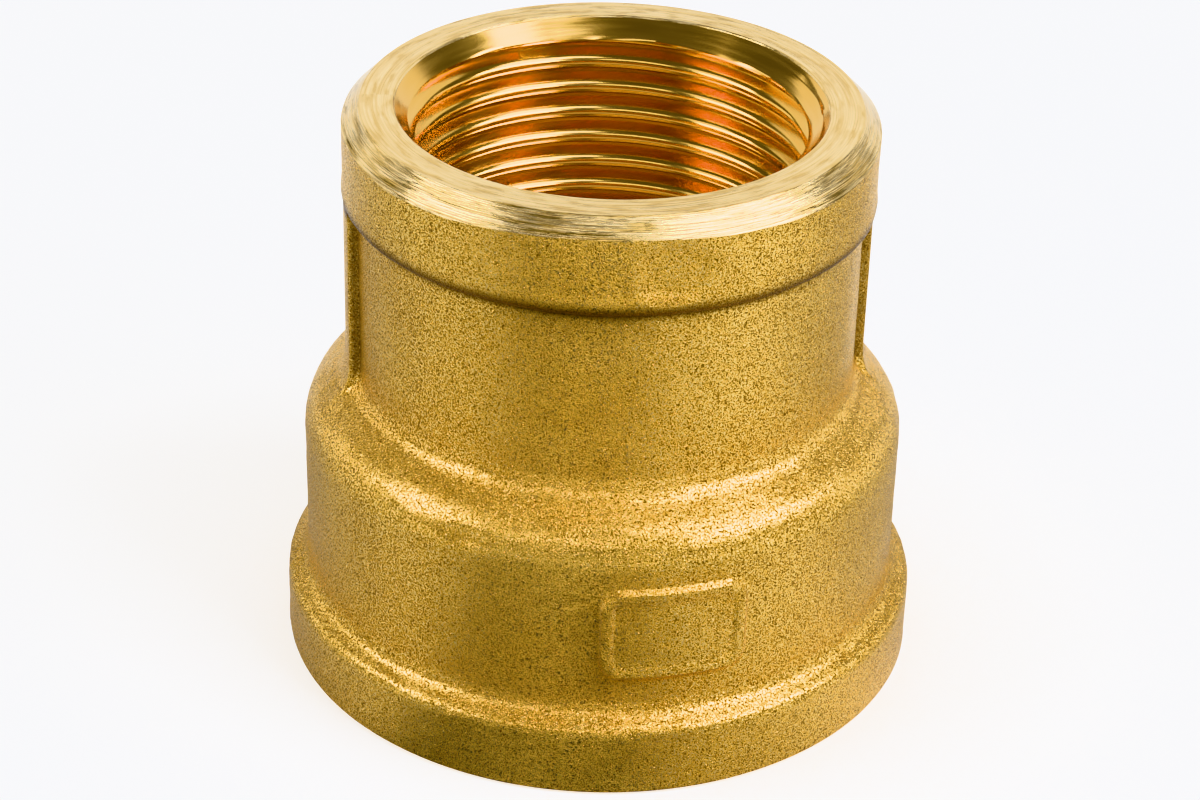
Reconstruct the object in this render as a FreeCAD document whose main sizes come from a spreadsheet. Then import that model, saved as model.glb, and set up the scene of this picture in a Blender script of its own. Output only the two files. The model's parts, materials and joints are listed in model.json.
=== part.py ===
import FreeCAD, Part

"""Reducing coupling, female G 1 to female G 3/4: one brass casting, machined and threaded.

Millimetres, +Z up. The origin is the centre of the large end's face, and the bore runs along Z,
with the small end on top. The casting is symmetric about the axis apart from two ribs on its
neck, which lie on the mould's parting plane, and one raised pad on its barrel.
"""

import os
import Sketcher

# Alias, value, meaning. Diameters are full diameters, and levels are heights above the origin.
SIZES = (
    ("total_height", 38.0, "large face to small face"),
    ("small_bore_dia", 24.6, "tapping bore of G 3/4, which may be 24.117 to 24.658"),
    ("small_major_dia", 26.441, "major diameter of G 3/4"),
    ("small_pitch", 1.814, "14 threads per inch"),
    ("small_thread_level", 22.93, "middle of the small thread's lowest groove, at +X"),
    ("small_bore_level", 20.6, "where the small bore opens into the taper"),
    ("large_bore_dia", 30.84, "tapping bore of G 1, which may be 30.291 to 30.931"),
    ("large_major_dia", 33.249, "major diameter of G 1"),
    ("large_pitch", 2.309, "11 threads per inch"),
    ("large_thread_level", 14.6, "middle of the large thread's highest groove, at +X"),
    ("large_bore_level", 18.0, "where the large bore ends at the taper"),
    ("thread_half_angle", 27.5, "half of the 55 degree thread angle"),
    ("root_flats", 6.0, "the flat at a groove's root is the pitch divided by this"),
    ("tool_overlap", 0.15, "how far the threading tool reaches into the open bore"),
    ("bead_dia", 34.0, "bead round the small mouth"),
    ("bead_edge_level", 32.15, "lower edge of the bead"),
    ("bead_root_level", 31.85, "where the bead's underside meets the neck"),
    ("neck_dia", 32.4, "neck round the small bore"),
    ("shoulder_top_level", 19.5, "corner of neck and shoulder"),
    ("shoulder_low_level", 17.25, "corner of shoulder and barrel"),
    ("barrel_dia", 39.1, "barrel round the large bore"),
    ("flange_root_level", 5.55, "corner of barrel and flange"),
    ("flange_edge_level", 4.7, "upper edge of the flange"),
    ("flange_dia", 42.0, "flange round the large mouth"),
    ("small_edge_cut", 1.25, "outer chamfer of the small end, at 45 degrees"),
    ("small_mouth_cut", 1.35, "countersink of the small mouth, at 45 degrees"),
    ("large_mouth_cut", 1.6, "countersink of the large mouth, at 45 degrees"),
    ("large_edge_cut", 0.35, "outer chamfer of the large end, at 45 degrees"),
    ("bead_round", 0.25, "round and fillet at the bead's lower edge"),
    ("neck_fillet", 1.85, "neck to shoulder"),
    ("shoulder_round", 3.5, "shoulder to barrel"),
    ("flange_fillet", 1.4, "barrel to flange"),
    ("flange_round", 0.9, "upper edge of the flange"),
    ("rib_dia", 33.7, "across the outer faces of the two ribs"),
    ("rib_angle", 14.4, "the angle one rib spans, 4.2 mm at its outer face"),
    ("rib_azimuth", 7.2, "the parting plane, turned from +X"),
    ("pad_dia", 39.7, "outer face of the blank marking pad, 0.3 mm proud of the barrel"),
    ("pad_azimuth", -75.8, "the middle of the pad, turned from +X"),
    ("pad_angle", 27.0, "the angle the pad spans, 9.3 mm along the barrel"),
    ("pad_low_level", 7.9, "lower edge of the pad"),
    ("pad_top_level", 14.3, "upper edge of the pad"),
    ("pad_corner", 1.4, "corner radius of the pad"),
    ("sink", 0.6, "how far an added piece reaches into the wall behind it"),
)
SAME_MM = 0.01  # edges this close to a stated radius and level are the ones meant

doc = FreeCAD.newDocument("reducing_coupling")
sheet = doc.addObject("Spreadsheet::Sheet", "Sizes")
for row, (alias, value, meaning) in enumerate(SIZES, start=1):
    sheet.set(f"A{row}", meaning)
    sheet.set(f"B{row}", str(value))
    sheet.setAlias(f"B{row}", alias)
doc.recompute()

body = doc.addObject("PartDesign::Body", "CouplingBody")
body.Label = "coupling_body"


def evaluate(expression):
    """The number that an expression of the sheet's aliases gives."""
    return float(sheet.evalExpression(expression))


def half(alias):
    return f"Sizes.{alias} / 2"


def level(alias):
    return f"Sizes.{alias}"


def bind_corner(sketch, corner, kind, expression):
    """Ties one coordinate of a corner to the sheet, or puts it on the sketch's own axis at 0."""
    if expression == "0":
        sketch.addConstraint(Sketcher.Constraint("PointOnObject", corner, 1, -1))
        return
    value = evaluate(expression)
    added = sketch.addConstraint(Sketcher.Constraint(kind, -1, 1, corner, 1, value))
    sketch.setExpression(f"Constraints[{added}]", expression)


def section_sketch(name, corners, azimuth=None):
    """A closed outline of straight edges in a plane through the axis: radius across, height up.

    Each corner is a pair of expressions. The plane is XZ, turned about the axis by azimuth.
    """
    sketch = body.newObject("Sketcher::SketchObject", name)
    plane = next(f for f in body.Origin.OriginFeatures if f.Role == "XZ_Plane")
    sketch.AttachmentSupport = (plane, [""])
    sketch.MapMode = "FlatFace"
    if azimuth:
        up = FreeCAD.Vector(0, 1, 0)
        turn = FreeCAD.Rotation(up, evaluate(level(azimuth)))
        sketch.AttachmentOffset = FreeCAD.Placement(FreeCAD.Vector(), turn)
        sketch.setExpression("AttachmentOffset.Rotation.Angle", level(azimuth))
    points = [FreeCAD.Vector(evaluate(across), evaluate(up), 0) for across, up in corners]
    following = points[1:] + points[:1]
    for start, end in zip(points, following):
        sketch.addGeometry(Part.LineSegment(start, end), False)
    for i in range(len(points)):
        after = (i + 1) % len(points)
        sketch.addConstraint(Sketcher.Constraint("Coincident", i, 2, after, 1))
    for i, (across, up) in enumerate(corners):
        bind_corner(sketch, i, "DistanceX", across)
        bind_corner(sketch, i, "DistanceY", up)
    return sketch


def feature(kind, name):
    """A new feature on top of the body, whose base is up to date."""
    doc.recompute()
    return body.newObject(f"PartDesign::{kind}", name)


def revolve(name, sketch, angle=None):
    """Turns a section about the axis: all the way, or by an alias's angle, half to each side."""
    turned = feature("Revolution", name)
    turned.Profile = sketch
    turned.ReferenceAxis = (sketch, ["V_Axis"])
    if angle:
        turned.Midplane = True
        turned.setExpression("Angle", level(angle))
    return turned


def ring_edges(radius, height):
    """The body's edges that are arcs about the axis at this radius and height."""
    found = []
    for i, edge in enumerate(body.Tip.Shape.Edges, start=1):
        curve = edge.Curve
        if not isinstance(curve, Part.Circle):
            continue
        on_axis = curve.Center.x**2 + curve.Center.y**2 < SAME_MM**2
        same_place = abs(curve.Center.z - height) < SAME_MM
        if on_axis and same_place and abs(curve.Radius - radius) < SAME_MM:
            found.append(f"Edge{i}")
    return found


def spoke_edges(radius, heights):
    """The body's straight edges that run out from the axis to this radius at these heights."""
    found = []
    for i, edge in enumerate(body.Tip.Shape.Edges, start=1):
        if not isinstance(edge.Curve, (Part.Line, Part.LineSegment)):
            continue
        ends = [v.Point for v in edge.Vertexes]
        outer = max(ends, key=lambda p: p.x**2 + p.y**2)
        reaches = abs((outer.x**2 + outer.y**2) ** 0.5 - radius) < SAME_MM
        flat = abs(ends[0].z - ends[1].z) < SAME_MM
        if reaches and flat and any(abs(outer.z - z) < SAME_MM for z in heights):
            found.append(f"Edge{i}")
    return found


def dress(kind, name, edges, alias):
    """Rounds or chamfers edges of the body by an alias's size."""
    if not edges:
        raise SystemExit(f"{name}: the body has no such edge")
    base = body.Tip
    dressed = feature(kind, name)
    dressed.Base = (base, edges)
    target = "Radius" if kind == "Fillet" else "Size"
    dressed.setExpression(target, level(alias))
    doc.recompute()
    return dressed


def ring_dress(kind, name, radius, height, alias):
    doc.recompute()
    return dress(kind, name, ring_edges(evaluate(radius), evaluate(height)), alias)


def make_blank():
    """The wall of the coupling: casting outside, tapping bores and the taper between them inside."""
    outside = (
        (half("flange_dia"), "0"),
        (half("flange_dia"), level("flange_edge_level")),
        (half("barrel_dia"), level("flange_root_level")),
        (half("barrel_dia"), level("shoulder_low_level")),
        (half("neck_dia"), level("shoulder_top_level")),
        (half("neck_dia"), level("bead_root_level")),
        (half("bead_dia"), level("bead_edge_level")),
        (half("bead_dia"), level("total_height")),
    )
    inside = (
        (half("small_bore_dia"), level("total_height")),
        (half("small_bore_dia"), level("small_bore_level")),
        (half("large_bore_dia"), level("large_bore_level")),
        (half("large_bore_dia"), "0"),
    )
    revolve("Blank", section_sketch("BlankSection", outside + inside))


def round_casting():
    """The rounds and fillets of the casting, from the large end up."""
    rounds = (
        ("FlangeRound", "flange_dia", "flange_edge_level", "flange_round"),
        ("FlangeFillet", "barrel_dia", "flange_root_level", "flange_fillet"),
        ("ShoulderRound", "barrel_dia", "shoulder_low_level", "shoulder_round"),
        ("NeckFillet", "neck_dia", "shoulder_top_level", "neck_fillet"),
        ("BeadFillet", "neck_dia", "bead_root_level", "bead_round"),
        ("BeadRound", "bead_dia", "bead_edge_level", "bead_round"),
    )
    for name, diameter, height, radius in rounds:
        ring_dress("Fillet", name, half(diameter), level(height), radius)


def make_ribs():
    """Two ribs from the bead down to the shoulder, on the parting plane."""
    foot = "(Sizes.shoulder_low_level + Sizes.shoulder_top_level) / 2"
    top = "(Sizes.bead_edge_level + Sizes.total_height) / 2"
    inner = f"{half('neck_dia')} - Sizes.sink"
    corners = (
        (inner, foot),
        (half("rib_dia"), foot),
        (half("rib_dia"), top),
        (inner, top),
    )
    rib = revolve("Rib", section_sketch("RibSection", corners, "rib_azimuth"), "rib_angle")
    pair = feature("PolarPattern", "RibPair")
    pair.Originals = [rib]
    pair.Axis = (rib.Profile[0], ["V_Axis"])
    pair.Angle = 360
    pair.Occurrences = 2
    body.Tip = pair


def make_pad():
    """A blank raised pad on the barrel, where such a casting carries its size marking."""
    inner = f"{half('barrel_dia')} - Sizes.sink"
    corners = (
        (inner, level("pad_low_level")),
        (half("pad_dia"), level("pad_low_level")),
        (half("pad_dia"), level("pad_top_level")),
        (inner, level("pad_top_level")),
    )
    revolve("Pad", section_sketch("PadSection", corners, "pad_azimuth"), "pad_angle")
    doc.recompute()
    heights = [evaluate(level(edge)) for edge in ("pad_low_level", "pad_top_level")]
    dress("Fillet", "PadCorners", spoke_edges(evaluate(half("pad_dia")), heights), "pad_corner")


def machine_ends():
    """The chamfers and countersinks that are turned on both ends."""
    cuts = (
        ("SmallEdge", "bead_dia", "Sizes.total_height", "small_edge_cut"),
        ("SmallMouth", "small_bore_dia", "Sizes.total_height", "small_mouth_cut"),
        ("LargeEdge", "flange_dia", "0", "large_edge_cut"),
        ("LargeMouth", "large_bore_dia", "0", "large_mouth_cut"),
    )
    for name, diameter, height, alias in cuts:
        ring_dress("Chamfer", name, half(diameter), height, alias)


def cut_thread(end, start, height):
    """A right-handed thread: one truncated 55 degree groove, cut upward from its start level."""
    pitch = f"Sizes.{end}_pitch"
    major = half(f"{end}_major_dia")
    inner = f"{half(f'{end}_bore_dia')} - Sizes.tool_overlap"
    root = f"{pitch} / (2 * Sizes.root_flats)"
    mouth = f"{root} + ({major} - ({inner})) * tan(Sizes.thread_half_angle * 1 deg)"
    corners = (
        (inner, f"{start} - ({mouth})"),
        (major, f"{start} - {root}"),
        (major, f"{start} + {root}"),
        (inner, f"{start} + {mouth}"),
    )
    tool = section_sketch(f"{end.capitalize()}ThreadTool", corners)
    thread = feature("SubtractiveHelix", f"{end.capitalize()}Thread")
    thread.Profile = tool
    thread.ReferenceAxis = (tool, ["V_Axis"])
    thread.Mode = 0
    thread.setExpression("Pitch", pitch)
    thread.setExpression("Height", height)
    before = thread.BaseFeature.Shape.Volume
    doc.recompute()
    if thread.Shape.Volume >= before:
        raise SystemExit(f"the {end} thread cut nothing")
    print(end, "thread cut", round(before - thread.Shape.Volume, 1), "mm3")


def make_threads():
    """The small thread runs out through the small face, and the large one starts below the large."""
    small = level("small_thread_level")
    cut_thread("small", small, f"Sizes.total_height + Sizes.small_pitch - {small}")
    turns = "ceil(Sizes.large_thread_level / Sizes.large_pitch) + 1"
    run = f"({turns}) * Sizes.large_pitch"
    cut_thread("large", f"{level('large_thread_level')} - {run}", run)


def check_document():
    doc.recompute()
    failed = [o.Name for o in doc.Objects if {"Invalid", "Error"} & set(o.State)]
    if failed:
        raise SystemExit(f"these objects failed: {failed}")
    shape = body.Shape
    if shape.isNull() or not shape.isValid() or len(shape.Solids) != 1:
        raise SystemExit("the coupling is not one valid solid")


make_blank()
round_casting()
make_ribs()
make_pad()
machine_ends()
make_threads()
check_document()
os.makedirs("parts", exist_ok=True)
body.Shape.exportStep(f"parts/{body.Label}.step")
print("volume", round(body.Shape.Volume, 1), "mm3, box", body.Shape.optimalBoundingBox())
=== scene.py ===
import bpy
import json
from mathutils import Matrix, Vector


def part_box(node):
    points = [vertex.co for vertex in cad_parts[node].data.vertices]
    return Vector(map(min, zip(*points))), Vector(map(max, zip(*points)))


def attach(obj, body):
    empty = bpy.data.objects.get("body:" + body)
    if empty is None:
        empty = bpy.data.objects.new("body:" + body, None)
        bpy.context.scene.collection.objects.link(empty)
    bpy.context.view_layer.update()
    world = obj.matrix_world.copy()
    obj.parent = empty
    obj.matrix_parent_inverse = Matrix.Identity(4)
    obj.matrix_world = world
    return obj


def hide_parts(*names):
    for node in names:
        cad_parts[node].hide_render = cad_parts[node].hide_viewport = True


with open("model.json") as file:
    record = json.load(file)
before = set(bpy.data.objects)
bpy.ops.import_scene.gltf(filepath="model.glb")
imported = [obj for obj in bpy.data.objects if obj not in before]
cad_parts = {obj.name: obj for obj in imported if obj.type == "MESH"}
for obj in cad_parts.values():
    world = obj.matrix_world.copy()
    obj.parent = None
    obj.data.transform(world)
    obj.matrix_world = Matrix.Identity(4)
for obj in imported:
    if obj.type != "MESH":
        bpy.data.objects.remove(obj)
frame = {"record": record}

"""A cast brass reducing coupling, with a wide internal thread below and a narrow one on top.

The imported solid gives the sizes. One mesh, made ring by ring about the bore, replaces it, with the
uneven cast skin, the ribs' rounded edges, the turned ends and both helical threads as geometry. The
grain of the casting and the marks of the lathe are materials. Lengths are in millimetres until a
mesh is written, and angles are in degrees unless a name says otherwise.
"""

import json
import math

import bpy
from mathutils import Matrix, Vector, noise

MM = 0.001
NODE = "coupling_body"
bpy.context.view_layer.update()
MOUNTS = {m["name"]: m for m in frame["record"]["mounts"]}

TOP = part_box(NODE)[1].z / MM
FLANGE_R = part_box(NODE)[1].x / MM
SMALL_BORE_R = MOUNTS["small_thread"]["dims"]["r_mm"]
LARGE_BORE_R = MOUNTS["large_thread"]["dims"]["r_mm"]

# The turned ends.
SMALL_EDGE_CUT = 1.25
SMALL_MOUTH_CUT = 1.35
LARGE_EDGE_CUT = 0.35
LARGE_MOUTH_CUT = 1.6
FACE_BREAK = 0.06  # the small break on every machined edge

BEAD_R = 17.0
SMALL_MOUTH_R = SMALL_BORE_R + SMALL_MOUTH_CUT
SMALL_FACE_R = BEAD_R - SMALL_EDGE_CUT
LARGE_MOUTH_R = LARGE_BORE_R + LARGE_MOUTH_CUT
LARGE_FACE_R = FLANGE_R - LARGE_EDGE_CUT
LARGE_THREAD_END = 15.7
SMALL_THREAD_END = 22.2

# The casting. Each corner of its outline has a radius, a height and a fillet.
NECK_R = 16.2
BARREL_R = 19.55
OUTLINE = (
    (BEAD_R, TOP - SMALL_EDGE_CUT, 0.0),
    (BEAD_R, 31.95, 0.6),
    (NECK_R, 31.6, 0.12),
    (NECK_R, 19.5, 1.85),
    (BARREL_R, 17.25, 3.5),
    (BARREL_R, 5.55, 1.4),
    (FLANGE_R - 0.08, 4.7, 0.9),
    (FLANGE_R - 0.08, LARGE_EDGE_CUT, 0.0),
)
OUTLINE_STEP = 0.3

RIB_R = 16.85
RIB_HALF_WIDTH = 2.1
RIB_DRAFT = 2.6  # how steeply a rib's sides fall, as a slope
PARTING = 7.2  # azimuth of the mould's parting plane, on which the ribs lie

PAD_AZIMUTH = -75.8
PAD_HALF_WIDTH = 4.65
PAD_LOW = 7.9
PAD_TOP = 14.3
PAD_CORNER = 1.4
PAD_RISE = 0.3
PAD_RIM = 0.75
PAD_FIELD_RISE = 0.14

COLUMNS = 180


def wave(distance):
    """A smooth step from 0 to 1 while distance goes from 0 to 1."""
    t = min(max(distance, 0.0), 1.0)
    return t * t * (3 - 2 * t)


def turn_between(a, b):
    """The signed angle from b to a, from -180 to 180."""
    return (a - b + 180) % 360 - 180


def turn_from_parting(angle):
    """How far an azimuth is from the nearer side of the mould's parting plane."""
    return min(abs(turn_between(angle, PARTING)), abs(turn_between(angle, PARTING + 180)))


def blend_max(a, b, softness):
    """The larger of two values, with a fillet where they meet."""
    return 0.5 * (a + b + math.hypot(a - b, softness))


# ---------------------------------------------------------------- the outline of the casting


def fillet_points(before, corner, after, radius, step):
    """Points of the arc that rounds a corner, as pairs of radius and height."""
    here = Vector(corner)
    back = (Vector(before) - here).normalized()
    on = (Vector(after) - here).normalized()
    half_angle = back.angle(on) / 2
    reach = radius / math.tan(half_angle)
    centre = here + (back + on).normalized() * (radius / math.sin(half_angle))
    start = here + back * reach - centre
    end = here + on * reach - centre
    turn = start.angle_signed(end)
    count = max(3, math.ceil(abs(turn) * radius / step))
    spokes = (Matrix.Rotation(-turn * i / count, 2) @ start for i in range(count + 1))
    return [centre + spoke for spoke in spokes]


def outline_points():
    """The casting's outline from the small end's chamfer down to the large end's."""
    stops = []
    for i, (r, z, radius) in enumerate(OUTLINE):
        if radius == 0:
            stops.append(Vector((r, z)))
            continue
        before, after = OUTLINE[i - 1][:2], OUTLINE[i + 1][:2]
        stops.extend(fillet_points(before, (r, z), after, radius, OUTLINE_STEP))
    points = [stops[0]]
    for stop in stops[1:]:
        last = points[-1]
        count = max(1, round((stop - last).length / OUTLINE_STEP))
        points.extend(last.lerp(stop, i / count) for i in range(1, count + 1))
    return points


def outward(points, i):
    """The outline's outward normal at one of its points."""
    along = points[min(i + 1, len(points) - 1)] - points[max(i - 1, 0)]
    return Vector((-along.y, along.x)).normalized()


# ---------------------------------------------------------------- what the casting adds


def wobble(point):
    """How far sand and shrinkage move the skin, at three scales. It is never outward of the outline."""
    broad = noise.noise(point / 7.0)
    middle = noise.noise(point / 2.1 + Vector((31, 7, 3)))
    fine = noise.noise(point / 0.8 + Vector((5, 41, 9)))
    return 0.05 * (broad - 1) + 0.03 * middle + 0.014 * fine


def rib_surface(angle):
    """Radius of the rib's face near this azimuth, falling steeply past its sides."""
    turn = turn_from_parting(angle)
    past_side = math.radians(turn) * RIB_R - RIB_HALF_WIDTH
    rounded = blend_max(past_side, 0, 0.12)
    return RIB_R - RIB_DRAFT * rounded


def parting_ridge(angle, z):
    """The thin flash line that the mould's joint leaves."""
    turn = turn_from_parting(angle)
    across = math.radians(turn) * BARREL_R / 0.32
    uneven = 0.6 + 0.4 * noise.noise(Vector((z / 2.3, angle, 4)))
    return 0.05 * uneven * math.exp(-across * across)


def pad_rise(angle, z):
    """How far the blank framed pad stands out of the barrel."""
    across = math.radians(turn_between(angle, PAD_AZIMUTH)) * BARREL_R
    middle, half_height = (PAD_LOW + PAD_TOP) / 2, (PAD_TOP - PAD_LOW) / 2
    inner_x = abs(across) - (PAD_HALF_WIDTH - PAD_CORNER)
    inner_z = abs(z - middle) - (half_height - PAD_CORNER)
    outside = math.hypot(max(inner_x, 0), max(inner_z, 0))
    depth = PAD_CORNER - outside - min(max(inner_x, inner_z), 0)
    edge = PAD_RISE * wave(depth / 0.28 + 0.5)
    field = (PAD_RISE - PAD_FIELD_RISE) * wave((depth - PAD_RIM) / 0.28 + 0.5)
    return edge - field


# Shallow flats that a chuck's jaws leave, and dents: azimuth, height, two half sizes, depth, edge.
DIMPLES = (
    (-76.6, 34.6, 2.5, 2.2, 0.2, 3.0),
    (-76.2, 2.5, 2.3, 2.2, 0.16, 3.0),
    (-115.0, 16.6, 1.7, 0.8, 0.22, 1.2),
    (-127.0, 17.6, 0.9, 0.6, 0.1, 1.2),
    (-47.0, 18.5, 1.2, 0.7, 0.1, 2.0),
    (-30.0, 17.8, 1.0, 0.9, 0.1, 2.0),
    (-106.0, 18.0, 0.8, 0.5, 0.1, 1.5),
    (-69.5, 18.9, 0.7, 0.4, 0.08, 1.5),
    (-36.5, 5.3, 0.5, 0.9, 0.12, 1.5),
)


def dimple_depth(angle, z):
    """How deep the flats and dents are at one spot."""
    depth = 0
    for azimuth, middle, wide, tall, deep, edge in DIMPLES:
        across = math.radians(turn_between(angle, azimuth)) * BEAD_R / wide
        up = (z - middle) / tall
        depth += deep * wave(edge * (1 - math.hypot(across, up)))
    return depth


def shoulder_lip(angle, z):
    """The low step that the mould's joint leaves on the shoulder, round the foot of each rib."""
    turn = turn_from_parting(angle)
    return 0.16 * wave((13.5 - turn) / 1.5) * wave((z - 18.2) / 0.3) * wave((20.2 - z) / 1.2)


def bead_oval(angle, z):
    """How the bead's skin runs out of true with the turned chamfer, which cuts it unevenly."""
    return 0.1 * wave((z - 32) / 1.5) * math.cos(math.radians(4 * (angle - 45)))


# Painted shade: a dark band under the bead and strips beside the ribs, where shade falls.
def cast_painted_shade(angle, z):
    """How much painted shade darkens the skin: a band under the bead and strips beside the ribs."""
    under_bead = wave((32.9 - z) / 0.8) * wave((z - 31.1) / 0.5)
    turn = turn_from_parting(angle)
    past_side = math.radians(turn) * RIB_R - RIB_HALF_WIDTH
    beside_rib = wave((past_side + 0.1) / 0.2) * wave((0.7 - past_side) / 0.4) * wave((z - 19.8) / 1.0)
    return max(0.95 * under_bead, 0.7 * beside_rib * wave((33 - z) / 1.0))


def cast_point(angle, spot, normal):
    """One point of the casting's skin, as radius, height and painted shade."""
    turn = math.radians(angle)
    place = Vector((spot.x * math.cos(turn), spot.x * math.sin(turn), spot.y))
    moved = spot + normal * wobble(place)
    softness = 0.1 + 0.5 * wave((21.5 - moved.y) / 2)
    rib = rib_surface(angle)
    r = moved.x
    if rib > NECK_R - 2:
        r = blend_max(r, rib, softness)
    r += parting_ridge(angle, moved.y) if moved.y < 20 else 0
    r += pad_rise(angle, moved.y) - dimple_depth(angle, moved.y)
    r += shoulder_lip(angle, moved.y) + bead_oval(angle, moved.y)
    return r, moved.y, cast_painted_shade(angle, moved.y)


# ---------------------------------------------------------------- threads


class Thread:
    """A right-handed internal thread with rounded roots, as a radius for every angle and height."""

    def __init__(self, bore, major, pitch, start, runs_up):
        self.bore = bore
        self.major = major
        self.pitch = pitch
        self.start = start  # middle of the end groove at azimuth 0
        self.runs_up = runs_up  # whether the thread leaves that groove upward
        self.flat = pitch / 12
        self.slope = 1 / math.tan(math.radians(27.5))

    def radius(self, angle, z):
        turns = angle / 360
        groove = round((z - self.start) / self.pitch - turns)
        beyond = groove + turns if self.runs_up else -(groove + turns)
        away = abs(z - self.start - (groove + turns) * self.pitch)
        flank = self.major - self.slope * (away - self.flat)
        depth = blend_max(flank - self.bore, 0, 0.5) - 0.09
        deepest = self.major - self.bore
        rounded = deepest - blend_max(deepest - depth, 0, 0.15)
        return self.bore + max(rounded, 0) * wave(beyond / 0.25)


SMALL = Thread(SMALL_BORE_R, major=13.2205, pitch=1.814, start=22.93, runs_up=True)
LARGE = Thread(LARGE_BORE_R, major=16.6245, pitch=2.309, start=14.6, runs_up=False)
# Where the mesh has rows across one pitch, with 0 at the middle of the groove.
FINE_PHASES = (-0.46, -0.42, -0.38, -0.34, -0.3, -0.25, -0.11, -0.05, 0.05, 0.12, 0.3, 0.36, 0.43, 0.5)
PLAIN_PHASES = (-0.36, -0.3, -0.1, -0.04, 0.04, 0.1, 0.3, 0.36)


# ---------------------------------------------------------------- the mesh


def column_angles():
    """Azimuths of the mesh's columns: even ones, and more where ribs, flash and the pad need them."""
    angles = [360 * i / COLUMNS for i in range(COLUMNS)]
    per_mm = 180 / math.pi / RIB_R
    for azimuth in (PARTING, PARTING + 180):
        angles += [azimuth + side * d * per_mm for side in (-1, 1) for d in (0, 0.15, 0.3, 0.5)]
        for side in (-1, 1):
            start = RIB_HALF_WIDTH - 0.2
            angles += [azimuth + side * (start + 0.08 * i) * per_mm for i in range(9)]
    per_mm = 180 / math.pi / BARREL_R
    for side in (-1, 1):
        start = PAD_HALF_WIDTH + 0.2
        angles += [PAD_AZIMUTH + side * (start - 0.13 * i) * per_mm for i in range(14)]
    kept = []
    for angle in sorted(a % 360 for a in angles):
        if not kept or angle - kept[-1] > 0.18:
            kept.append(angle)
    return kept


class Skin:
    """A closed surface about the bore, made of rings that are joined one to the next."""

    def __init__(self, angles):
        self.angles = angles
        self.points = []
        self.painted_shade = []
        self.faces = []
        self.finishes = []
        self.last = None
        self.first = None

    def place(self, angle, r, z, painted_shade=0.0):
        turn = math.radians(angle)
        self.points.append((r * math.cos(turn), r * math.sin(turn), z))
        self.painted_shade.append(painted_shade)
        return len(self.points) - 1

    def face(self, corners, finish):
        """A face, from corners that run clockwise as seen from outside. Repeated corners are dropped."""
        distinct = list(dict.fromkeys(corners))
        if len(distinct) > 2:
            self.faces.append(distinct[::-1])
            self.finishes.append(finish)

    def join(self, one, other, finish):
        for i in range(len(self.angles)):
            j = (i + 1) % len(self.angles)
            self.face((one[i], one[j], other[j], other[i]), finish)
        self.last = other

    def ring(self, shape, finish):
        """The next ring, where shape gives radius, height and perhaps painted shade from an azimuth."""
        made = [self.place(angle, *shape(angle)) for angle in self.angles]
        if self.last is None:
            self.first = made
            self.last = made
        else:
            self.join(self.last, made, finish)

    def level_ring(self, r, z, finish):
        self.ring(lambda angle: (r, z), finish)

    def helix(self, shape, low, high, thread, phases, finish):
        """Rows that follow a thread upward from low to high, between a level ring at each end.

        Each row climbs one pitch in a turn, so its end meets the row that is one pitch above.
        """
        bottom = [self.place(angle, shape(angle, low), low) for angle in self.angles]
        top = [self.place(angle, shape(angle, high), high) for angle in self.angles]
        pitch = thread.pitch
        first_turn = math.floor((low - thread.start) / pitch) - 1
        last_turn = math.ceil((high - thread.start) / pitch) + 1
        levels = [
            thread.start + (turn + phase) * pitch
            for turn in range(first_turn, last_turn)
            for phase in phases
        ]
        rows = []
        for level in levels:
            row = []
            for i, angle in enumerate(self.angles):
                z = level + pitch * angle / 360
                if z <= low + 0.02:
                    row.append(bottom[i])
                elif z >= high - 0.02:
                    row.append(top[i])
                else:
                    row.append(self.place(angle, shape(angle, z), z))
            rows.append(row)
        rows += [top] * (len(phases) + 1)
        for k in range(len(levels)):
            for i in range(len(self.angles)):
                if i + 1 < len(self.angles):
                    far, near = rows[k][i + 1], rows[k + 1][i + 1]
                else:
                    far, near = rows[k + len(phases)][0], rows[k + len(phases) + 1][0]
                self.face((rows[k][i], far, near, rows[k + 1][i]), finish)
        self.join(self.last, bottom, finish)
        self.last = top

    def close(self, finish):
        self.join(self.last, self.first, finish)


CAST, TURNED, THREADED = range(3)
MOUTH_INSET = 0.12  # how far inside a mouth the threaded rows begin


def machined_path(corners, step):
    """Rings for a turned section: its inner corners get a small break, its ends stay as given."""
    path = []
    for before, corner, after in zip(corners, corners[1:], corners[2:]):
        stops = fillet_points(before, corner, after, FACE_BREAK, FACE_BREAK)
        if path:
            gap = (stops[0] - path[-1]).length
            count = max(2, round(gap / step))
            last = path[-1]
            path += [last.lerp(stops[0], i / count) for i in range(1, count)]
        path += stops
    return path


def add_small_end(skin):
    """The small end's face and the start of its chamfer, from the mouth outward."""
    section = (
        (SMALL_MOUTH_R - MOUTH_INSET, TOP - MOUTH_INSET),
        (SMALL_MOUTH_R, TOP),
        (SMALL_FACE_R, TOP),
        (BEAD_R, TOP - SMALL_EDGE_CUT),
    )
    for r, z in machined_path(section, 0.25):
        skin.level_ring(r, z, TURNED)
    for down in (0.285, 0.57, 0.8075):
        skin.level_ring(SMALL_FACE_R + down, TOP - down, TURNED)


def add_casting(skin):
    """The cast skin, between the uneven lines where the two chamfers cut it."""
    outline = outline_points()

    def small_edge(angle):
        r = cast_point(angle, outline[0], outward(outline, 0))[0]
        return r, TOP - (r - SMALL_FACE_R)

    def large_edge(angle):
        r = cast_point(angle, outline[-1], outward(outline, len(outline) - 1))[0]
        return r, max(r - LARGE_FACE_R, 0.08)

    skin.ring(small_edge, TURNED)
    for i in range(1, len(outline) - 1):
        normal = outward(outline, i)
        skin.ring(lambda angle: cast_point(angle, outline[i], normal), CAST)
    skin.ring(large_edge, CAST)


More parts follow.
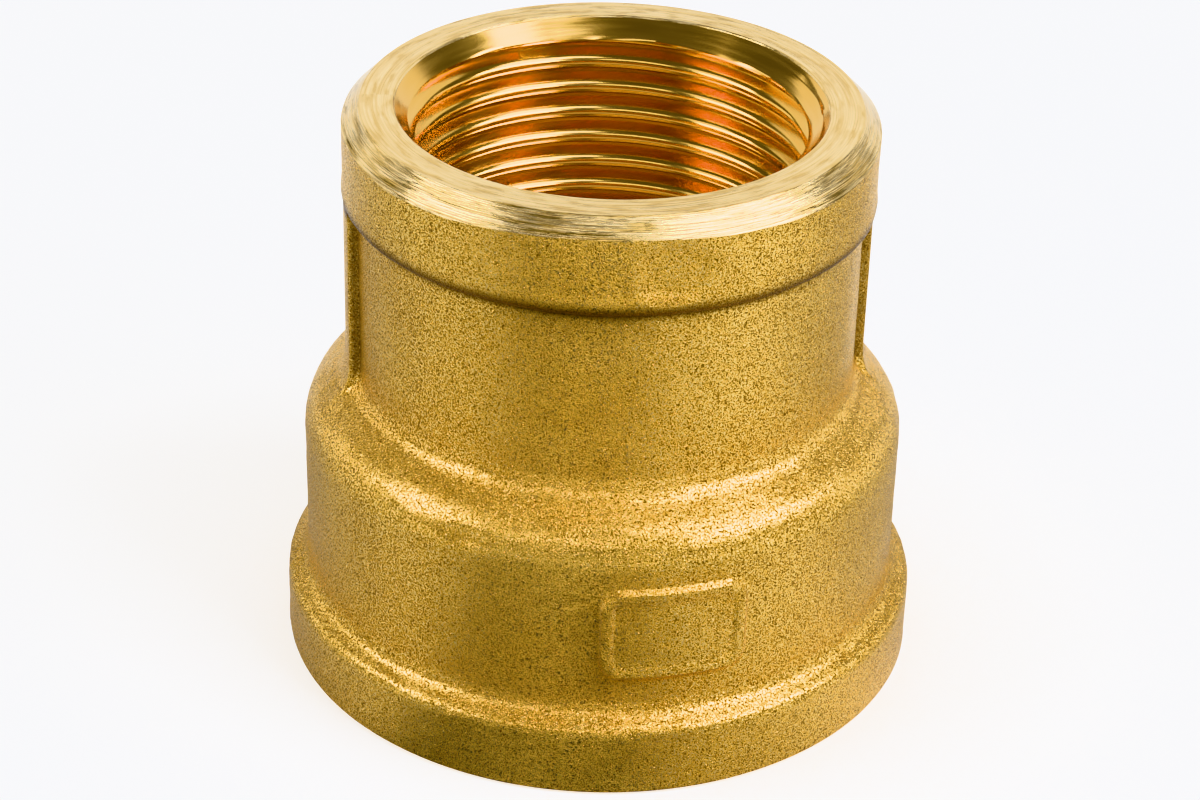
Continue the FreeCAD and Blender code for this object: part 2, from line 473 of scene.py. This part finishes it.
def add_large_end(skin):
    """The large end's face, from its edge in to the mouth."""
    section = (
        (FLANGE_R, LARGE_EDGE_CUT),
        (LARGE_FACE_R, 0),
        (LARGE_MOUTH_R, 0),
        (LARGE_MOUTH_R - MOUTH_INSET, MOUTH_INSET),
    )
    for r, z in machined_path(section, 0.6):
        skin.level_ring(r, z, TURNED)


def large_wall(angle, z):
    return max(LARGE.radius(angle, z), LARGE_MOUTH_R - z)


def small_wall(angle, z):
    return max(SMALL.radius(angle, z), SMALL_MOUTH_R - (TOP - z))


def add_bore(skin):
    """The inside from the large mouth up: a thread, the taper between the bores, and a thread."""
    skin.helix(large_wall, MOUTH_INSET, LARGE_THREAD_END, LARGE, PLAIN_PHASES, THREADED)
    taper = (
        (LARGE_BORE_R, LARGE_THREAD_END),
        (LARGE_BORE_R, 18.0),
        (SMALL_BORE_R, 20.6),
        (SMALL_BORE_R, SMALL_THREAD_END),
    )
    for r, z in machined_path(taper, 0.5):
        skin.level_ring(r, z, THREADED)
    skin.helix(small_wall, SMALL_THREAD_END, TOP - MOUTH_INSET, SMALL, FINE_PHASES, THREADED)


def skin_mesh():
    """The whole coupling, from the small face outward, down the casting and up through the bore."""
    skin = Skin(column_angles())
    add_small_end(skin)
    add_casting(skin)
    add_large_end(skin)
    add_bore(skin)
    skin.close(TURNED)
    return skin


def add_coupling(materials):
    skin = skin_mesh()
    mesh = bpy.data.meshes.new("coupling")
    mesh.from_pydata([tuple(c * MM for c in p) for p in skin.points], [], skin.faces)
    mesh.polygons.foreach_set("material_index", skin.finishes)
    # This attribute carries the painted shade under the bead and beside the ribs.
    mesh.attributes.new("painted_shade", "FLOAT", "POINT").data.foreach_set("value", skin.painted_shade)
    for material in materials:
        mesh.materials.append(material)
    mesh.validate()
    mesh.shade_smooth()
    mesh.set_sharp_from_angle(angle=math.radians(38))
    coupling = bpy.data.objects.new("coupling", mesh)
    bpy.context.scene.collection.objects.link(coupling)
    return coupling


# ---------------------------------------------------------------- materials


OCHRE = (0.95, 0.57, 0.11, 1)
DEEP_OCHRE = (0.87, 0.50, 0.085, 1)
# The lighter colour of the grain's highest crowns is a painted glint.
CROWN_GLINT = (1.0, 0.71, 0.24, 1)
# The dark colour of the pits between the crowns is painted shade.
PIT_SHADE_BROWN = (0.12, 0.055, 0.006, 1)
# Colour of the painted shade under the bead and beside the ribs.
PAINTED_SHADE_BROWN = (0.13, 0.06, 0.01, 1)
TURNED_PALE = (0.95, 0.73, 0.37, 1)
TURNED_LINE = (0.62, 0.40, 0.11, 1)
TURNED_PATCH = (0.64, 0.43, 0.14, 1)
# Both thread colours are darkened as painted shade inside the bore.
SHADED_THREAD_LIGHT = (0.80, 0.51, 0.15, 1)
SHADED_THREAD_DARK = (0.70, 0.41, 0.09, 1)

# How far each relief stands out, in metres.
GRAIN_RELIEF = 0.00005
TURNING_RELIEF = 0.000035
THREAD_RELIEF = 0.000003


def set_input(tree, socket, value):
    """Feed a socket from another socket, or give it a number or colour."""
    if isinstance(value, bpy.types.NodeSocket):
        tree.links.new(value, socket)
    else:
        socket.default_value = value


def add_node(tree, kind, inputs=None, **settings):
    """A shader node with its settings, and inputs that are numbers, colours or other sockets."""
    node = tree.nodes.new(kind)
    for name, value in settings.items():
        setattr(node, name, value)
    for name, value in (inputs or {}).items():
        set_input(tree, node.inputs[name], value)
    return node


def new_material(name):
    material = bpy.data.materials.new(name)
    material.use_nodes = True
    tree = material.node_tree
    tree.nodes.clear()
    return material, tree


def millimetres(tree):
    """The object's own coordinates in millimetres."""
    place = add_node(tree, "ShaderNodeTexCoord")
    inputs = {0: place.outputs["Object"], 1: (1000, 1000, 1000)}
    return add_node(tree, "ShaderNodeVectorMath", inputs, operation="MULTIPLY").outputs[0]


# Reads the painted shade under the bead and beside the ribs from the mesh.
def painted_shade(tree):
    node = add_node(tree, "ShaderNodeAttribute", attribute_name="painted_shade")
    return node.outputs["Fac"]


def speckle(tree, place, scale, detail=2.0, roughness=0.5):
    inputs = {"Vector": place, "Scale": scale, "Detail": detail, "Roughness": roughness}
    return add_node(tree, "ShaderNodeTexNoise", inputs).outputs["Fac"]


def ramp(tree, value, low, high, to_low=0.0, to_high=1.0):
    inputs = {"Value": value, "From Min": low, "From Max": high, "To Min": to_low, "To Max": to_high}
    return add_node(tree, "ShaderNodeMapRange", inputs).outputs[0]


def mix(tree, share, one, other):
    """A colour between two, by a share from 0 to 1. A colour mix takes its colours at 6 and 7."""
    node = add_node(tree, "ShaderNodeMix", data_type="RGBA")
    for index, value in ((0, share), (6, one), (7, other)):
        set_input(tree, node.inputs[index], value)
    return node.outputs[2]


def math_node(tree, operation, one, other=0.0, third=0.0):
    inputs = {0: one, 1: other, 2: third}
    return add_node(tree, "ShaderNodeMath", inputs, operation=operation).outputs[0]


def bumped(tree, height, distance):
    """A normal from a height between 0 and about 1, where 1 stands out by the distance in metres."""
    inputs = {"Height": height, "Strength": 1.0, "Distance": distance}
    return add_node(tree, "ShaderNodeBump", inputs).outputs[0]


def finish_metal(tree, colour, roughness, bump):
    inputs = {"Base Color": colour, "Metallic": 1.0, "Roughness": roughness, "Normal": bump}
    shader = add_node(tree, "ShaderNodeBsdfPrincipled", inputs)
    add_node(tree, "ShaderNodeOutputMaterial", {"Surface": shader.outputs[0]})


def cast_brass():
    """Shot-blasted casting: ochre crowns, the highest lightened as painted glints, with dark pits
    between them as painted shade, and painted shade under the bead and beside the ribs.
    """
    material, tree = new_material("cast_brass")
    place = millimetres(tree)
    grain = speckle(tree, place, 9.0, 2.0, 0.6)
    crowns = ramp(tree, grain, 0.36, 0.50)
    lumps = speckle(tree, place, 1.4, 2.0)
    specks = ramp(tree, speckle(tree, place, 11.0, 1.0), 0.56, 0.72)
    shape = math_node(tree, "MULTIPLY_ADD", lumps, 1.2, crowns)
    height = math_node(tree, "MULTIPLY_ADD", specks, 0.3, shape)
    bump = bumped(tree, height, GRAIN_RELIEF)
    patches = ramp(tree, speckle(tree, place, 0.13, 3.0), 0.38, 0.62)
    ochre = mix(tree, patches, OCHRE, DEEP_OCHRE)
    # The grain's pits are darkened as painted shade, and its highest crowns are lightened as painted
    # glints.
    pitted = mix(tree, crowns, PIT_SHADE_BROWN, ochre)
    grained = mix(tree, ramp(tree, grain, 0.52, 0.66), pitted, CROWN_GLINT)
    # Darkens the skin towards brown by the painted shade.
    colour = mix(tree, painted_shade(tree), grained, PAINTED_SHADE_BROWN)
    roughness = ramp(tree, grain, 0.4, 0.65, 0.32, 0.24)
    finish_metal(tree, colour, roughness, bump)
    return material


def round_the_axis(tree, radius, azimuth, z, fine, turns):
    """A place for noise that runs round the axis: fine across the tool's marks, long along them."""
    inputs = {
        "X": math_node(tree, "MULTIPLY", radius, fine),
        "Y": math_node(tree, "MULTIPLY", azimuth, turns),
        "Z": math_node(tree, "MULTIPLY", z, fine),
    }
    return add_node(tree, "ShaderNodeCombineXYZ", inputs).outputs[0]


def turned_brass():
    """Bare turned metal, pale, with the tool's fine rings."""
    material, tree = new_material("turned_brass")
    place = millimetres(tree)
    parts = add_node(tree, "ShaderNodeSeparateXYZ", {0: place}).outputs
    flat = add_node(tree, "ShaderNodeCombineXYZ", {"X": parts["X"], "Y": parts["Y"]}).outputs[0]
    radius = add_node(tree, "ShaderNodeVectorMath", {0: flat}, operation="LENGTH").outputs["Value"]
    azimuth = math_node(tree, "ARCTAN2", parts["Y"], parts["X"])
    grooves = round_the_axis(tree, radius, azimuth, parts["Z"], 12.0, 1.2)
    marks = speckle(tree, grooves, 1.0, 3.0, 0.6)
    patches = speckle(tree, round_the_axis(tree, radius, azimuth, parts["Z"], 2.5, 6.0), 1.0, 2.0)
    height = math_node(tree, "MULTIPLY_ADD", patches, 2.0, marks)
    bump = bumped(tree, height, TURNING_RELIEF)
    lines = mix(tree, ramp(tree, marks, 0.36, 0.56), TURNED_LINE, TURNED_PALE)
    tint = mix(tree, ramp(tree, patches, 0.34, 0.54), TURNED_PATCH, lines)
    roughness = ramp(tree, patches, 0.35, 0.65, 0.12, 0.26)
    finish_metal(tree, tint, roughness, bump)
    return material


def threaded_brass():
    """Freshly cut thread: smooth, with faint tool rings. Its colours are darkened and reddened as
    painted shade inside the bore.
    """
    material, tree = new_material("threaded_brass")
    place = millimetres(tree)
    inputs = {0: place, 1: (0.25, 0.25, 5.0)}
    stretched = add_node(tree, "ShaderNodeVectorMath", inputs, operation="MULTIPLY").outputs[0]
    marks = speckle(tree, stretched, 1.0, 1.0)
    bump = bumped(tree, marks, THREAD_RELIEF)
    tint = mix(tree, marks, SHADED_THREAD_DARK, SHADED_THREAD_LIGHT)
    roughness = ramp(tree, marks, 0.3, 0.7, 0.13, 0.2)
    finish_metal(tree, tint, roughness, bump)
    return material


# ---------------------------------------------------------------- the studio


# In metres.
FLOOR_REACH = 1.5
FLOOR_Z = -0.00002  # just clear of the large end's face
CARD_Z = 0.0001
SOFTBOX_DISTANCE = 0.5


def add_floor():
    mesh = bpy.data.meshes.new("floor")
    signs = ((-1, -1), (1, -1), (1, 1), (-1, 1))
    corners = [(x * FLOOR_REACH, y * FLOOR_REACH, FLOOR_Z) for x, y in signs]
    mesh.from_pydata(corners, [], [(0, 1, 2, 3)])
    material, tree = new_material("floor_white")
    inputs = {
        "Base Color": (0.92, 0.9, 0.87, 1),
        "Roughness": 0.9,
        "Specular IOR Level": 0.1,
        "Emission Color": (1, 1, 1, 1),
        "Emission Strength": 0.5,
    }
    shader = add_node(tree, "ShaderNodeBsdfPrincipled", inputs)
    add_node(tree, "ShaderNodeOutputMaterial", {"Surface": shader.outputs[0]})
    mesh.materials.append(material)
    floor = bpy.data.objects.new("floor", mesh)
    bpy.context.scene.collection.objects.link(floor)
    return floor


def way_to(azimuth, elevation):
    """The unit vector that points from the coupling to this azimuth and elevation."""
    turn, rise = math.radians(azimuth), math.radians(elevation)
    return Vector((math.cos(turn) * math.cos(rise), math.sin(turn) * math.cos(rise), math.sin(rise)))


def add_softbox(name, azimuth, elevation, width, height, brightness, colour):
    """An area light aimed at the middle of the coupling. The camera is at azimuth -90."""
    light = bpy.data.lights.new(name, "AREA")
    light.shape = "RECTANGLE"
    light.size = width
    light.size_y = height
    light.energy = brightness * math.pi * width * height
    light.color = colour
    softbox = bpy.data.objects.new(name, light)
    way = way_to(azimuth, elevation)
    softbox.location = Vector((0, 0, TOP * MM / 2)) + way * SOFTBOX_DISTANCE
    softbox.rotation_euler = way.to_track_quat("Z", "Y").to_euler()
    softbox.visible_camera = False
    bpy.context.scene.collection.objects.link(softbox)


WHITE = (1, 1, 1)
DAYLIGHT = (0.93, 0.98, 1.1)

# Each softbox: its name, azimuth, elevation, width and height in metres, brightness and colour.
SOFTBOXES = (
    ("back_panel", 90, 32, 0.9, 0.5, 1.1, WHITE),
    ("top_box", 90, 86, 0.14, 0.14, 3.5, WHITE),
    ("left_box", -163, 29, 0.3, 0.14, 11.0, DAYLIGHT),
    ("left_upper", -158, 46, 0.2, 0.12, 1.8, WHITE),
    ("left_panel", 160, 14, 0.3, 0.2, 1.4, WHITE),
    ("right_box", -26, 33, 0.42, 0.13, 19.0, DAYLIGHT),
    ("right_upper", -25, 53, 0.3, 0.13, 8.0, DAYLIGHT),
    ("front_upper", -57, 60, 0.16, 0.07, 7.0, DAYLIGHT),
    ("front_box", -102, 38, 0.34, 0.1, 2.2, WHITE),
    ("right_panel", 18, 9, 0.35, 0.14, 1.4, WHITE),
)

# How light the floor looks in the metal: an azimuth and a grey for each stop.
FLOOR_TONES = (
    (-180, 0.48),
    (-143, 0.48),
    (-120, 0.05),
    (-88, 0.04),
    (-62, 0.38),
    (-30, 0.6),
    (0, 0.38),
    (30, 0.28),
    (60, 0.6),
    (90, 0.9),
    (120, 0.6),
    (150, 0.38),
    (180, 0.48),
)
CARD_RADII = (0.0206, 0.035, 0.2)


def floor_tone(azimuth):
    for (start, low), (end, high) in zip(FLOOR_TONES, FLOOR_TONES[1:]):
        if azimuth <= end:
            return low + (high - low) * wave((azimuth - start) / (end - start))
    return FLOOR_TONES[-1][1]


def add_floor_card():
    """A grey ring on the floor that is seen only as a reflection in the metal."""
    count = 72
    azimuths = [-180 + 360 * i / count for i in range(count)]
    points = [way_to(azimuth, 0) * radius for radius in CARD_RADII for azimuth in azimuths]
    tones = [floor_tone(azimuth) for azimuth in azimuths] * len(CARD_RADII)
    faces = []
    for first in range(0, count * (len(CARD_RADII) - 1), count):
        for i in range(count):
            j = (i + 1) % count
            faces.append((first + i, first + j, first + count + j, first + count + i))
    mesh = bpy.data.meshes.new("floor_card")
    mesh.from_pydata([(x, y, CARD_Z) for x, y, z in points], [], faces)
    mesh.attributes.new("tone", "FLOAT", "POINT").data.foreach_set("value", tones)
    material, tree = new_material("floor_card")
    tone = add_node(tree, "ShaderNodeAttribute", attribute_name="tone").outputs["Fac"]
    shader = add_node(tree, "ShaderNodeBsdfDiffuse", {"Color": tone})
    add_node(tree, "ShaderNodeOutputMaterial", {"Surface": shader.outputs[0]})
    mesh.materials.append(material)
    card = bpy.data.objects.new("floor_card", mesh)
    card.visible_camera = False
    card.visible_diffuse = False
    card.visible_shadow = False
    bpy.context.scene.collection.objects.link(card)
    return card


def add_world():
    world = bpy.data.worlds.new("studio")
    world.use_nodes = True
    background = world.node_tree.nodes["Background"]
    background.inputs["Color"].default_value = (0.95, 0.94, 0.92, 1)
    background.inputs["Strength"].default_value = 0.13
    bpy.context.scene.world = world


# The camera looks down by its rise and leans by a little. It sees the centre of the small end's face
# this many millimetres to its right, above its middle and ahead.
CAMERA_RISE = 30.23
CAMERA_LEAN = 1.67
FACE_TO_RIGHT = 0.771
FACE_ABOVE = 18.602
FACE_AHEAD = 191.67
FOCAL_LENGTH = 92.34


def add_camera():
    """About 30 degrees above the floor, on the -Y side."""
    rise, lean = math.radians(CAMERA_RISE), math.radians(CAMERA_LEAN)
    right = Vector((math.cos(lean), math.sin(lean) * math.sin(rise), math.sin(lean) * math.cos(rise)))
    ahead = Vector((0, math.cos(rise), -math.sin(rise)))
    up = right.cross(ahead)
    offset = right * FACE_TO_RIGHT + up * FACE_ABOVE + ahead * FACE_AHEAD
    lens = bpy.data.cameras.new("camera")
    lens.sensor_width = 36
    lens.lens = FOCAL_LENGTH
    lens.clip_start = 0.01
    camera = bpy.data.objects.new("camera", lens)
    turned = Matrix((right, up, -ahead)).transposed().to_4x4()
    camera.matrix_world = Matrix.Translation((Vector((0, 0, TOP)) - offset) * MM) @ turned
    bpy.context.scene.collection.objects.link(camera)
    bpy.context.scene.camera = camera


def set_view():
    view = bpy.context.scene.view_settings
    view.view_transform = "Khronos PBR Neutral"
    view.look = "None"


coupling = add_coupling((cast_brass(), turned_brass(), threaded_brass()))
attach(coupling, "root")
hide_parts(NODE)
add_floor()
add_floor_card()
for softbox in SOFTBOXES:
    add_softbox(*softbox)
add_world()
add_camera()
set_view()
